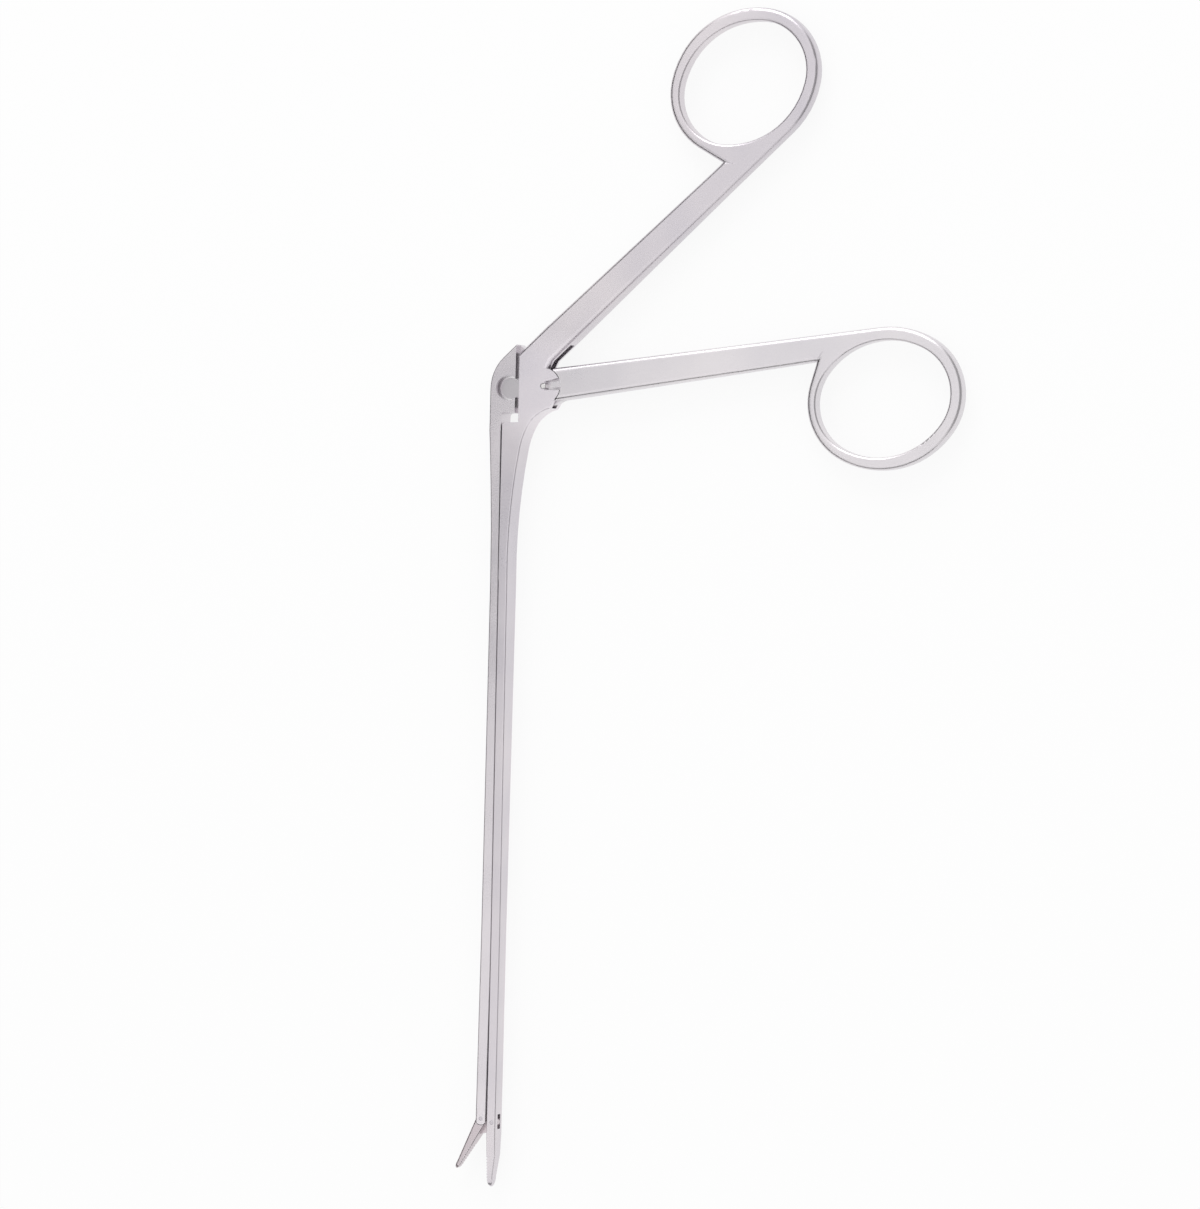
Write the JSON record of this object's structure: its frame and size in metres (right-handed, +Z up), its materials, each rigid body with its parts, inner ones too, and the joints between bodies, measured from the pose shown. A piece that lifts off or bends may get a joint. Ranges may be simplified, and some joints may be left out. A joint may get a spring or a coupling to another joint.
{
  "type": "ear dressing forceps",
  "caption": "Long slender ring-handle forceps: squeezing the handles slides one half of the shaft along the other and closes small serrated jaws at its tip.",
  "frame": {"origin": "on the axis of the handle pivot, in the plane of the flat side that the instrument lies on", "axes": "+Y against the shaft, from the jaws towards the handles; +X towards the finger rings; +Z up, out of the flat upper side"},
  "size_m": [0.1025, 0.2361, 0.0054],
  "materials": {
    "satin_steel": "fine satin stainless steel",
    "polished_steel": "ground and polished stainless steel"
  },
  "bodies": {
    "fixed": {"rear_handle_and_shaft": "satin_steel", "jaw_pivot_pin": "polished_steel"},
    "lever": {"front_handle_lever": "satin_steel", "handle_pivot_pin": "polished_steel"},
    "slider": {"sliding_shaft": "satin_steel", "jaw_drive_pin": "polished_steel"},
    "jaw": {"moving_jaw": "satin_steel"}
  },
  "joints": [
    {"name": "lever_pivot", "type": "hinge", "parent": "fixed", "child": "lever", "pos_m": [0, 0, 0], "axis": [0, 0, 1], "range_deg": [0, 10.41]},
    {"name": "shaft_slide", "type": "slide", "parent": "fixed", "child": "slider", "axis": [0, -1, 0], "range_m": [0, 0.00136]},
    {"name": "jaw_pivot", "type": "hinge", "parent": "fixed", "child": "jaw", "pos_m": [-0.0075, -0.14785, 0], "axis": [0, 0, 1], "range_deg": [0, 32.3]}
  ],
  "couplings": [
    {"joint": "shaft_slide", "follows": "lever_pivot", "m_per_rad": 0.007491},
    {"joint": "jaw_pivot", "follows": "lever_pivot", "ratio": 3.1028}
  ]
}
